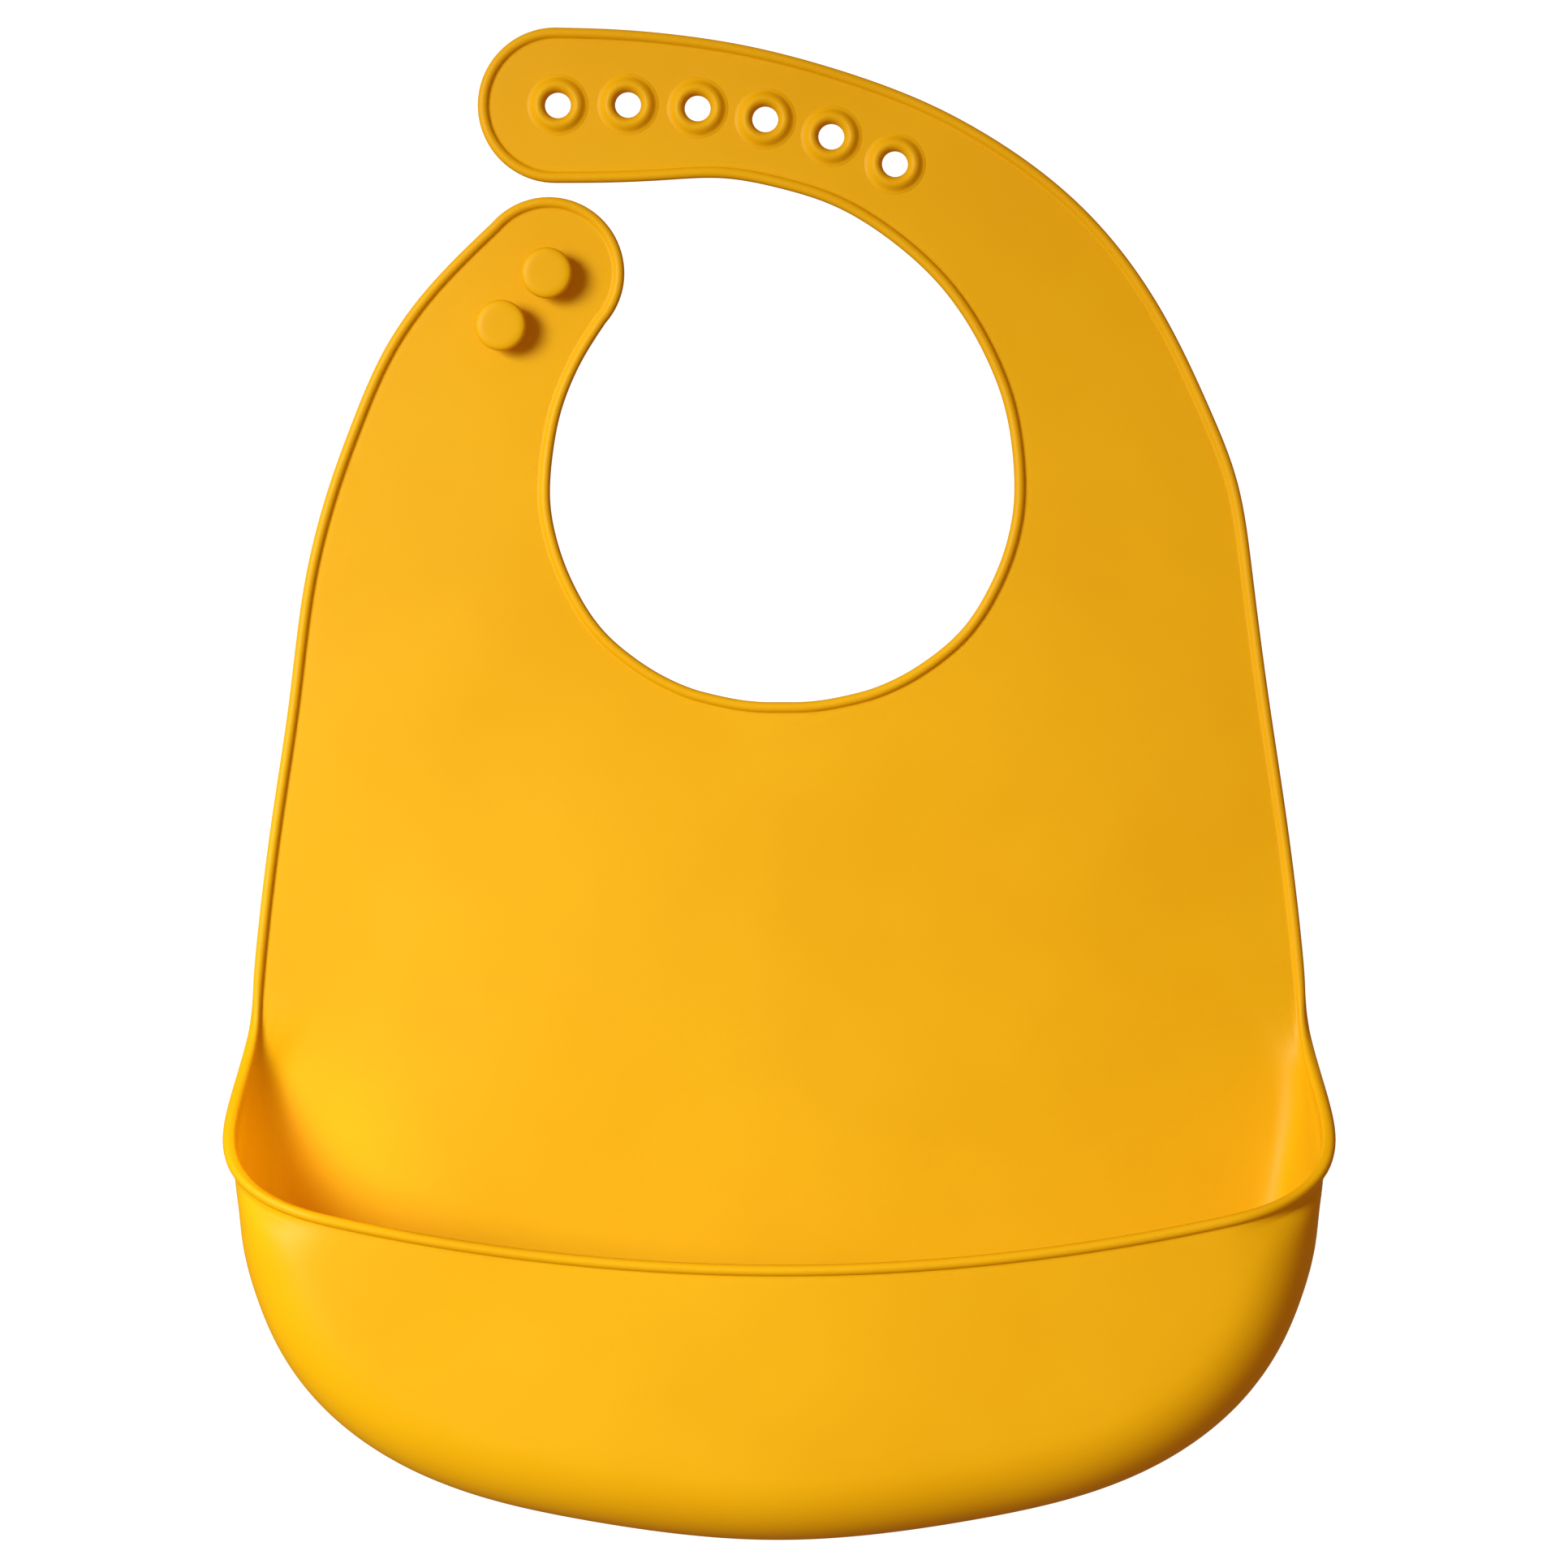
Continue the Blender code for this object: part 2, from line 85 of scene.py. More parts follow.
LONG_STRAP_RIBS = [
    (-45.0, 119.1, -45.0, 150.3),
    (-34.0, 119.2, -34.5, 150.0),
    (-23.0, 119.7, -23.8, 149.2),
    (-11.8, 120.1, -9.5, 147.2),
    (0.7, 117.9, 7.3, 143.2),
    (13.5, 113.3, 24.5, 137.4),
    (24.9, 105.6, 38.1, 130.9),
    (36.1, 93.6, 59.2, 115.8),
    (43.0, 80.9, 76.5, 94.1),
    (46.4, 69.0, 87.0, 72.7),
]
PANEL_RIBS = [
    (47.3, 57.0, 92.6, 57.0),
    (46.2, 48.5, 95.3, 39.5),
    (43.2, 39.8, 98.6, 14.5),
    (38.4, 31.4, 102.2, -10.0),
    (32.6, 25.4, 104.9, -32.0),
    (26.5, 21.1, 106.2, -48.0),
    (20.5, 18.1, 106.0, -66.0),
    (15.5, 16.5, 101.9, -90.0),
    (11.0, 15.5, 92.8, -114.0),
    (7.0, 14.9, 70.3, -132.9),
    (3.6, 14.7, 38.0, -142.1),
    (NECK_CENTRE_X, 14.7, 0.0, -146.1),
]
SHORT_STRAP_RIBS = [
    (-46.1, 57.0, -90.9, 57.0),
    (-45.2, 67.0, -86.1, 70.4),
    (-43.2, 75.3, -79.5, 85.3),
    (-39.5, 83.7, -69.5, 99.2),
    (-34.9, 91.0, -57.7, 111.0),
]
left_panel = [(2 * NECK_CENTRE_X - a, b, -c, d) for a, b, c, d in reversed(PANEL_RIBS[1:-1])]
RIBS = np.array(LONG_STRAP_RIBS + PANEL_RIBS + left_panel + SHORT_STRAP_RIBS)
LAST_RIB = len(RIBS) - 1
RIGHT_SHOULDER = len(LONG_STRAP_RIBS)
BOTTOM_RIB = RIGHT_SHOULDER + len(PANEL_RIBS) - 1
LEFT_SHOULDER = 2 * BOTTOM_RIB - RIGHT_SHOULDER
print("ribs:", len(RIBS), "pocket depth:", POCKET_DEPTH)

# %% [markdown]
# A natural cubic spline bends no more than it must, like a thin batten held at the ribs. It is read
# by distance along the band's middle, so that the rows of the mesh stay evenly spaced.

# %% The batten
middles = (RIBS[:, :2] + RIBS[:, 2:]) / 2
band_length = np.concatenate([[0], np.cumsum(np.linalg.norm(np.diff(middles, axis=0), axis=1))])


def batten(knots, values, at):
    """Natural cubic spline through the values at the knots, read at each place in `at`."""
    steps = np.diff(knots)
    slopes = np.diff(values, axis=0) / steps[:, None]
    system = np.eye(len(knots))
    right = np.zeros_like(values)
    for k in range(1, len(knots) - 1):
        system[k, k - 1:k + 2] = steps[k - 1], 2 * (steps[k - 1] + steps[k]), steps[k]
        right[k] = 6 * (slopes[k] - slopes[k - 1])
    bend = np.linalg.solve(system, right)
    k = np.clip(np.searchsorted(knots, at, side="right") - 1, 0, len(knots) - 2)
    step = steps[k][:, None]
    here = (at - knots[k])[:, None]
    left = step - here
    straight = values[k] * left / step + values[k + 1] * here / step
    curve = bend[k] * (left ** 3 / step - step * left) + bend[k + 1] * (here ** 3 / step - step * here)
    return straight + curve / 6


ROW_SPACING = 0.62
row_count = int(band_length[-1] / ROW_SPACING)
row_place = np.linspace(0, band_length[-1], row_count)
rows = batten(band_length, RIBS, row_place)
rib_number = np.interp(row_place, band_length, np.arange(len(RIBS)))
spine = (rows[:, :2] + rows[:, 2:]) / 2
print("rows across the band:", row_count)

# %% [markdown]
# The pocket is a drafted wall that leaves the back panel with a small round, leans outward, and
# turns over a large round into the flat front. As a profile it is a curve of (out, up). Its side
# edges climb in a straight slope, eased at the start: there the sheet only curls up a little.

# %% The pocket's profile
round_up = POCKET_DEPTH - POCKET_ROUND
wall_top = round_up - POCKET_ROUND * math.sin(DRAFT)
round_out = wall_top * math.tan(DRAFT) - POCKET_ROUND * math.cos(DRAFT)
TWIST_HEIGHT = 8.0       # below this the wall hasn't yet turned up fully


def arc_points(centre, radius, start, stop, count):
    """Points and unit tangents of an arc, by angle from outward, turning upward."""
    turn = np.radians(np.linspace(start, stop, count))
    points = np.stack([centre[0] + radius * np.cos(turn), centre[1] + radius * np.sin(turn)], axis=1)
    return points, np.stack([-np.sin(turn), np.cos(turn)], axis=1)


def wall_profile(end_out, end_up, lean, count=40):
    """The small round and the straight wall up to a given end, the wall at `lean` from level."""
    rise = (end_up - FOOT_ROUND * (1 - math.cos(lean))) / math.sin(lean)
    start = end_out - FOOT_ROUND * math.sin(lean) - rise * math.cos(lean)
    bend, bend_way = arc_points((start, FOOT_ROUND), FOOT_ROUND, -90, math.degrees(lean) - 90, 14)
    way = np.array([math.cos(lean), math.sin(lean)])
    straight = bend[-1] + np.outer(np.linspace(0, rise, count)[1:], way)
    return np.vstack([bend, straight]), np.vstack([bend_way, np.tile(way, (count - 1, 1))])


def full_profile():
    wall, wall_way = wall_profile(wall_top * math.tan(DRAFT), wall_top, math.pi / 2 - DRAFT)
    over, over_way = arc_points((round_out, round_up), POCKET_ROUND, -math.degrees(DRAFT), 90, 60)
    return np.vstack([wall, over[1:]]), np.vstack([wall_way, over_way[1:]])


def edge_height(y):
    """How high the side edge stands at a given y."""
    past = EAR_START - y
    eased = np.clip(past + EAR_EASE, 0, 2 * EAR_EASE) ** 2 / (4 * EAR_EASE)
    return np.where(past > EAR_EASE, past, eased) / EAR_SLOPE


def mouth_y(x):
    return RIM_MIDDLE + RIM_SAG * x * x


profile, profile_way = full_profile()
print("profile:", len(profile), "points, lean at the top", round(float(round_out), 2))

# %% [markdown]
# Every station of the free edge gets a path: from the edge, over the sheet, to the band's spine. On
# the straps the path is a straight line. At the pocket it runs from the mouth down the front wall,
# round the bend, down the wall and in along the back panel. Each point keeps its normal, which
# points to the wearer's food side.

# %% Paths from the free edge to the spine
foot = rows[:, 2:]
along = np.gradient(foot, axis=0)
along /= np.linalg.norm(along, axis=1)[:, None]
outward = np.stack([along[:, 1], -along[:, 0]], axis=1)
if outward[row_count // 4][0] < 0:
    outward = -outward


def raise_profile(k, points, ways):
    """Places a profile of (out, up) at row k."""
    spots = np.column_stack([foot[k] + np.outer(points[:, 0], outward[k]), points[:, 1]])
    normals = np.column_stack([np.outer(-ways[:, 1], outward[k]), ways[:, 0]])
    return spots, normals


def climb(k):
    """Profile at row k cut at the side edge; None where the row isn't part of the pocket. The
    last value says whether it reaches the front."""
    on_panel = RIGHT_SHOULDER - 1 < rib_number[k] < LEFT_SHOULDER - 1
    if foot[k][1] > EAR_START + EAR_EASE - 0.01 or not on_panel:
        return None
    spots, normals = raise_profile(k, profile, profile_way)
    over = np.nonzero(spots[:, 2] > edge_height(spots[:, 1]))[0]
    if len(over) == 0:
        return spots, normals, True
    n = max(over[0], 1)
    gap = spots[n - 1:n + 1, 2] - edge_height(spots[n - 1:n + 1, 1])
    share = -gap[0] / (gap[1] - gap[0])
    end = spots[n - 1] + (spots[n] - spots[n - 1]) * share
    if end[2] > TWIST_HEIGHT:
        last = normals[n - 1] + (normals[n] - normals[n - 1]) * share
        return np.vstack([spots[:n], end]), np.vstack([normals[:n], last]), False
    height = float(edge_height(foot[k][1]))
    for _ in range(4):
        height = float(edge_height(foot[k][1] + outward[k][1] * height * math.tan(DRAFT)))
    lean = (math.pi / 2 - DRAFT) * math.sqrt(min(height / TWIST_HEIGHT, 1))
    points, ways = wall_profile(height * math.tan(DRAFT), height, max(lean, 0.001))
    spots, normals = raise_profile(k, points, ways)
    return spots, normals, False


climbs = [climb(k) for k in range(row_count)]
front_rows = [k for k, c in enumerate(climbs) if c and c[2]]
turn_ends = np.array([climbs[k][0][-1][:2] for k in front_rows])
turn_length = np.concatenate([[0], np.cumsum(np.linalg.norm(np.diff(turn_ends, axis=0), axis=1))])
mouth_x = np.linspace(turn_ends[0][0], turn_ends[-1][0], 400)
mouth = np.column_stack([mouth_x, mouth_y(mouth_x)])
mouth_length = np.concatenate([[0], np.cumsum(np.linalg.norm(np.diff(mouth, axis=0), axis=1))])
mouth_share = turn_length / turn_length[-1] * mouth_length[-1]
mouth_ends = np.column_stack([np.interp(mouth_share, mouth_length, mouth[:, j]) for j in (0, 1)])
print("rows that reach the front:", len(front_rows), "mouth:", round(float(mouth_length[-1]), 1))

# %% [markdown]
# The free edge is one closed loop: along the outer side, round the short strap's tip, back along the
# neck, and round the long strap's tip. Rows that reach the front wall get a straight run over it.

# %% Stations round the whole free edge
UP = np.array([0.0, 0.0, 1.0])
FRONT_RUN = 39           # points of a path that lie on the front wall


def flat_run(start, end, count=60):
    run = np.linspace(start, end, count)
    points = np.column_stack([run, np.zeros(count)])
    return points, np.tile(UP, (count, 1))


def outer_path(k):
    """Free edge to spine along row k on the outer side: points, normals."""
    if climbs[k] is None:
        return flat_run(foot[k], spine[k])
    spots, normals, reaches_front = climbs[k]
    floor_points, floor_normals = flat_run(spots[0][:2], spine[k])
    points = [spots[::-1], floor_points[1:]]
    ways = [normals[::-1], floor_normals[1:]]
    if reaches_front:
        n = k - front_rows[0]
        run = np.linspace(mouth_ends[n], turn_ends[n], FRONT_RUN + 1)[:-1]
        points.insert(0, np.column_stack([run, np.full(FRONT_RUN, POCKET_DEPTH)]))
        ways.insert(0, np.tile(-UP, (FRONT_RUN, 1)))
    return np.vstack(points), np.vstack(ways)


def tip_stations(k, away, steps=44):
    """The half circle round a strap's tip, from its neck edge to its outer edge."""
    centre, spoke = spine[k], rows[k, :2] - spine[k]
    side = np.array([-spoke[1], spoke[0]])
    if side @ away < 0:
        side = -side
    turns = [math.pi * j / steps for j in range(1, steps)]
    return [flat_run(centre + spoke * math.cos(a) + side * math.sin(a), centre) for a in turns]


paths = [outer_path(k) for k in range(row_count)]
owners = list(range(row_count))
short_tip = tip_stations(row_count - 1, spine[-1] - spine[-2])
paths += short_tip[::-1]
owners += [row_count - 1] * len(short_tip)
paths += [flat_run(rows[k, :2], spine[k]) for k in reversed(range(row_count))]
owners += list(reversed(range(row_count)))
long_tip = tip_stations(0, spine[0] - spine[1])
paths += long_tip
owners += [0] * len(long_tip)
edge = np.array([points[0] for points, _ in paths])
edge_normal = np.array([normals[0] for _, normals in paths])
print("stations:", len(paths))

# %% [markdown]
# The rolled edge: moulded silicone needs a bead or it tears. Its section is drawn as distance in
# from the edge against height. On the straps it stands up on the front and the back stays flat; at
# the pocket's mouth it stands out on the outside instead, and between the two it rolls over.

# %% The bead's section
BEAD_REACH = 3.8         # where the sheet's plain thickness begins
BEAD_RADIUS = 1.05
BEAD_SINK = 0.05         # how deep the bead's centre lies under the sheet's face
BACK_RADIUS = 0.75       # rounding of the edge on the flat face
GROOVE = 0.03            # a faint line pressed in beside the bead


def bead_section(roll):
    """(in, height) from the back face round the edge to the front; roll 0 puts the bead on the
    front face and 1 on the back face."""
    r, s = BEAD_RADIUS, BACK_RADIUS
    low = [(BEAD_REACH, 0.0), (2.2, 0.0), (1.3, 0.0)]
    low += [(s + s * math.cos(a), s + s * math.sin(a))
            for a in np.radians([-90, -112, -135, -158, -180])]
    high = [(r + r * math.cos(a), SHEET - BEAD_SINK + r * math.sin(a))
            for a in np.radians([180, 157, 135, 112, 90, 68, 46, 24, 8])]
    high += [(2 * r + 0.22, SHEET - GROOVE), (2 * r + 0.62, SHEET - GROOVE * 0.5), (BEAD_REACH, SHEET)]
    front = np.array(low + high)
    back = np.column_stack([front[::-1, 0], SHEET - front[::-1, 1]])
    length = np.concatenate([[0], np.cumsum(np.linalg.norm(np.diff(front, axis=0), axis=1))])
    flipped = np.concatenate([[0], np.cumsum(np.linalg.norm(np.diff(back, axis=0), axis=1))])
    even = (length / length[-1]) * (1 - roll) + (flipped / flipped[-1]) * roll
    a = np.column_stack([np.interp(even, length / length[-1], front[:, j]) for j in (0, 1)])
    b = np.column_stack([np.interp(even, flipped / flipped[-1], back[:, j]) for j in (0, 1)])
    return a * (1 - roll) + b * roll


def soft_step(x):
    x = min(max(x, 0.0), 1.0)
    return x * x * (3 - 2 * x)


section_size = len(bead_section(0))
print("points in the bead's section:", section_size)

# %% [markdown]
# Now the skin itself. Each path is resampled so that bends get close rows and flats get wide ones,
# the bead's section stands at its end, and a second layer lies one thickness inside. Joined row by
# row they make one closed skin.

# %% Growing the skin
FILL = 46                # rows between the bead and the spine on each face
START_STEP = 0.6         # how far in from the edge a path's first direction is read
FLAT_ROW = 4.5           # length of flat sheet that gets one row
ROWS_PER_TURN = 7        # rows for each radian that a path bends
EDGE_ZONE = 9.0          # length beside the edge where the rows lie closer
EDGE_ROWS = 0.25         # extra rows there for each millimetre
SQUARE_FADE = 10.0       # length over which a path goes back from square to its own direction
ROLL_START = 3.0         # height at which the bead starts to roll to the outside
ROLL_HEIGHT = 26.0       # climb over which it does so


def read_off(length, wanted, values):
    """Values read off a path at the wanted lengths."""
    return np.column_stack([np.interp(wanted, length, values[:, j]) for j in range(3)])


def unit(v):
    return v / np.linalg.norm(v, axis=-1, keepdims=True)


def station_rings():
    """For each station the points from spine to edge on the back and edge to spine on the front.
    The bead follows the path's own bends; only its direction is turned square to the edge."""
    tangent = unit(np.roll(edge, -1, axis=0) - np.roll(edge, 1, axis=0))
    rings = []
    for n, (points, normals) in enumerate(paths):
        steps = np.linalg.norm(np.diff(points, axis=0), axis=1)
        length = np.concatenate([[0], np.cumsum(steps)])
        start = unit(read_off(length, [START_STEP], points)[0] - points[0])
        inward = unit(np.cross(edge_normal[n], tangent[n]))
        if inward @ start < 0:
            inward = -inward
        square = inward - start
        square[2] = 0
        roll = soft_step((points[0][2] - ROLL_START) / ROLL_HEIGHT)
        section = bead_section(roll)
        bead = read_off(length, section[:, 0], points) + np.outer(section[:, 0], square)
        bead += read_off(length, section[:, 0], unit(normals)) * section[:, 1:]
        turn = np.linalg.norm(np.diff(normals, axis=0), axis=1)
        extra = steps * EDGE_ROWS * (length[:-1] < EDGE_ZONE)
        cost = np.concatenate([[0], np.cumsum(steps / FLAT_ROW + turn * ROWS_PER_TURN + extra)])
        first = np.interp(BEAD_REACH, length, cost)
        wanted = np.linspace(first, cost[-1], FILL + 2)[1:-1]
        reach = np.interp(wanted, cost, length)
        way = unit(read_off(length, reach, normals))
        fade = np.clip(1 - (reach - BEAD_REACH) / SQUARE_FADE, 0, 1) ** 2
        skin = read_off(length, reach, points) + np.outer(fade, square * BEAD_REACH)
        rings.append(np.vstack([skin[::-1], bead, skin + way * SHEET]))
    return np.array(rings)


def eased(rings, passes=36, spread=60, window=10):
    """Averages each station of the pocket's edge with its neighbours, so that the wall starts
    to climb, and turns its corners, without a crease."""
    share = (edge[:, 2] > 0.02).astype(float)
    for _ in range(spread):
        share = np.maximum(share, (np.roll(share, 1) + np.roll(share, -1)) / 2)
    wrapped = np.concatenate([share[-window:], share, share[:window]])
    share = np.convolve(wrapped, np.ones(2 * window + 1) / (2 * window + 1), "valid")
    for _ in range(passes):
        neighbours = (np.roll(rings, 1, axis=0) + np.roll(rings, -1, axis=0)) / 2
        rings = rings + (neighbours - rings) * (share * 0.5)[:, None, None]
    return rings


rings = eased(station_rings())
ring_size = rings.shape[1]
spine_back = np.column_stack([spine, np.zeros(row_count)])
spine_front = np.column_stack([spine, np.full(row_count, SHEET)])
skin_points = np.vstack([rings.reshape(-1, 3), spine_back, spine_front])
print("skin:", len(skin_points), "points, lowest", round(float(skin_points[:, 2].min()), 3))

# %% [markdown]
# The real bib is one moulding, but here it has to bend at the joints, so the skin is cut into
# lengths that each cross one fold line. Each cut is placed where both lengths would follow the
# same body, so that the two faces of a cut would not part.

# %% Cutting the skin into lengths
first_back, first_front = len(paths) * ring_size, len(paths) * ring_size + row_count
owner_rib = rib_number[np.array(owners)]


def skin_faces(low, high):
    """Faces of the skin between two rib numbers."""
    faces = []
    count = len(paths)
    for n in range(count):
        m = (n + 1) % count
        if min(owner_rib[n], owner_rib[m]) < low or max(owner_rib[n], owner_rib[m]) > high:
            continue
        a, b = n * ring_size, m * ring_size
        faces += [(a + j, a + j + 1, b + j + 1, b + j) for j in range(ring_size - 1)]
        for side, j in ((first_back, 0), (first_front, ring_size - 1)):
            corners = [side + owners[n], a + j, b + j, side + owners[m]]
            faces.append(tuple(dict.fromkeys(corners)))
    return faces


def length_of_skin(low, high, cuts):
    """A closed piece of skin. Each cut is (point, normal): what lies beyond is cut off."""
    faces = skin_faces(low, high)
    used = np.unique(np.concatenate([np.array(f) for f in faces]))
    renumber = np.full(len(skin_points), -1)
    renumber[used] = np.arange(len(used))
    mesh = bpy.data.meshes.new("length")
    mesh.from_pydata((skin_points[used] * MM).tolist(), [], [renumber[list(f)].tolist() for f in faces])
    bm = bmesh.new()
    bm.from_mesh(mesh)
    bpy.data.meshes.remove(mesh)
    for point, normal in cuts:
        everything = bm.verts[:] + bm.edges[:] + bm.faces[:]
        plane = Vector(point) * MM, Vector(normal)
        bmesh.ops.bisect_plane(bm, geom=everything, plane_co=plane[0], plane_no=plane[1],
                               clear_outer=True, dist=1e-7)
        rim = [e for e in bm.edges if e.is_boundary
               and all(abs((v.co - plane[0]).dot(plane[1])) < 2e-6 for v in e.verts)]
        for e in rim:
            e.smooth = False
        bmesh.ops.triangle_fill(bm, edges=rim, use_beauty=True, use_dissolve=False)
    loose = [v for v in bm.verts if not v.link_faces]
    bmesh.ops.delete(bm, geom=loose, context="VERTS")
    bmesh.ops.recalc_face_normals(bm, faces=bm.faces)
    return bm


def rib_cut(number, keep):
    """The upright plane through a rib; keep +1 keeps the higher rib numbers."""
    k = int(np.argmin(abs(rib_number - number)))
    across = rows[k, 2:] - rows[k, :2]
    way = np.array([-across[1], across[0]])
    if way @ (spine[min(k + 3, row_count - 1)] - spine[max(k - 3, 0)]) < 0:
        way = -way
    return (*spine[k], 0), (*(-keep * way / np.linalg.norm(way)), 0)


def seam_between(first, second, keep):
    """The upright plane midway between two eyelets; keep +1 keeps the second one's side."""
    a, b = eyelet_place[first], eyelet_place[second]
    way = (b - a) / np.linalg.norm(b - a)
    return (*((a + b) / 2), 0), (*(-keep * way), 0)


def centre_of(node):
    low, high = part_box(node)
    return (np.array(low[:2]) + np.array(high[:2])) / 2 / MM


eyelet_place = {n: centre_of(f"eyelet_rim_{n}") for n in range(1, 7)}
stud_place = {n: centre_of(n) for n in ("stud_upper", "stud_lower")}
print("eyelets:", {n: p.round(1).tolist() for n, p in eyelet_place.items()})

# %% [markdown]
# Which length is which. Seam heights sit well away from the fold lines: across the apron just above
# the neck's lowest point, low in the pocket's wall, midway along each stretch of strap, and between
# pairs of eyelets.

# %% The lengths
APRON_SEAM_Y = 25.0
WALL_SEAM_Z = 5.0
below_apron_seam = ((0, APRON_SEAM_Y, 0), (0, 1, 0))
above_apron_seam = ((0, APRON_SEAM_Y, 0), (0, -1, 0))
LENGTHS = {
    "apron": (11.0, 2 * BOTTOM_RIB - 11.0, [below_apron_seam, ((0, 0, WALL_SEAM_Z), (0, 0, 1))]),
    "pocket": (14.0, 2 * BOTTOM_RIB - 14.0, [((0, 0, WALL_SEAM_Z), (0, 0, -1))]),
    "long_shoulder_bend": (8.5, 15.4, [above_apron_seam, rib_cut(9, 1)]),
    "long_nape_bend": (6.5, 9.5, [rib_cut(9, -1), rib_cut(7, 1)]),
    "long_inner_bend": (4.0, 7.5, [rib_cut(7, -1), seam_between(5, 6, 1)]),
    "long_middle_bend": (2.0, 6.0, [seam_between(5, 6, -1), seam_between(3, 4, 1)]),
    "long_tip_bend": (0.0, 4.0, [seam_between(3, 4, -1)]),
    "short_shoulder_bend": (2 * BOTTOM_RIB - 15.4, LEFT_SHOULDER + 1.5,
                            [above_apron_seam, rib_cut(LEFT_SHOULDER + 1, -1)]),
    "short_end_bend": (LEFT_SHOULDER + 0.5, LAST_RIB, [rib_cut(LEFT_SHOULDER + 1, 1)]),
}
object_collection = bpy.context.scene.collection


def new_piece(name, bm):
    mesh = bpy.data.meshes.new(name)
    bm.to_mesh(mesh)
    bm.free()
    mesh.shade_smooth()
    piece = bpy.data.objects.new(name, mesh)
    object_collection.objects.link(piece)
    return piece


pieces = {}
for name, (low, high, cuts) in LENGTHS.items():
    pieces[name] = new_piece(name, length_of_skin(low, high, cuts))
    print(name, len(pieces[name].data.polygons), "faces")

# %% [markdown]
# Node trees are easier to read as sums. A Wire holds one socket, and adding or multiplying wires
# adds the Math nodes. Any other node comes from Tree.add: its type, its settings first, then the
# values or wires of its sockets.

# %% Wires and trees


class Wire:
    """One output socket of a node tree, usable in arithmetic."""

    def __init__(self, tree, socket):
        self.tree, self.socket = tree, socket

    def math(self, operation, *others):
        return self.tree.add("ShaderNodeMath", {"operation": operation}, dict(enumerate((self, *others))))

    def __add__(self, other):
        return self.math("ADD", other)

    def __sub__(self, other):
        return self.math("SUBTRACT", other)

    def __rsub__(self, other):
        return self * -1.0 + other

    def __mul__(self, other):
        return self.math("MULTIPLY", other)

    __radd__, __rmul__ = __add__, __mul__

    def clipped(self):
        return self.math("MAXIMUM", 0.0).math("MINIMUM", 1.0)


class Tree:
    """A node tree that is built by calling add."""

    def __init__(self, tree):
        self.tree = tree

    def add(self, kind, settings=None, sockets=None, output=0):
        """Adds a node and returns one of its outputs."""
        node = self.tree.nodes.new(kind)
        for key, value in (settings or {}).items():
            if key == "curve":
                draw_curve(node.mapping, value)
            elif key == "stops":
                set_stops(node.color_ramp, value)
            else:
                setattr(node, key, value)
        for key, value in (sockets or {}).items():
            if isinstance(value, Wire):
                self.tree.links.new(value.socket, node.inputs[key])
            else:
                node.inputs[key].default_value = value
        return Wire(self, node.outputs[output])

    def part(self, wire, letter):
        return self.add("ShaderNodeSeparateXYZ", {}, {0: wire}, "XYZ".index(letter))


def draw_curve(mapping, points):
    """Fills a Float Curve with straight runs between the given points."""
    curve = mapping.curves[0]
    curve.points[0].location, curve.points[1].location = points[0], points[-1]
    for place in points[1:-1]:
        curve.points.new(*place)
    for point in curve.points:
        point.handle_type = "VECTOR"
    mapping.update()


def set_stops(ramp, stops):
    """Gives a colour ramp its (place, grey) stops."""
    while len(ramp.elements) < len(stops):
        ramp.elements.new(0.5)
    for element, (place, grey) in zip(ramp.elements, stops):
        element.position = place
        element.color = (grey, grey, grey, 1)


print("wires ready")

# %% [markdown]
# Food-grade silicone is matte and even, but never flat: the pigment clouds a little, the mould
# leaves a fine satin grain, and a few specks of dust always cling to it. The clouds tint the base
# colour, the grain goes to Bump and Roughness, and the gloss stays one constant.

# %% The silicone
MUSTARD = (0.825, 0.480, 0.004, 1.0)
MUSTARD_DEEP = (0.780, 0.430, 0.001, 1.0)
SPECK = (0.62, 0.24, 0.01, 1.0)
CLOUD_SIZE, BLOTCH_SIZE = 55, 17         # millimetres, as are the next two lines
DUST_SPACING, DUST_DRIFT = 11, 30
GRAIN_SIZE, FINE_GRAIN_SIZE = 0.55, 0.16
SATIN = 0.47                             # mean roughness


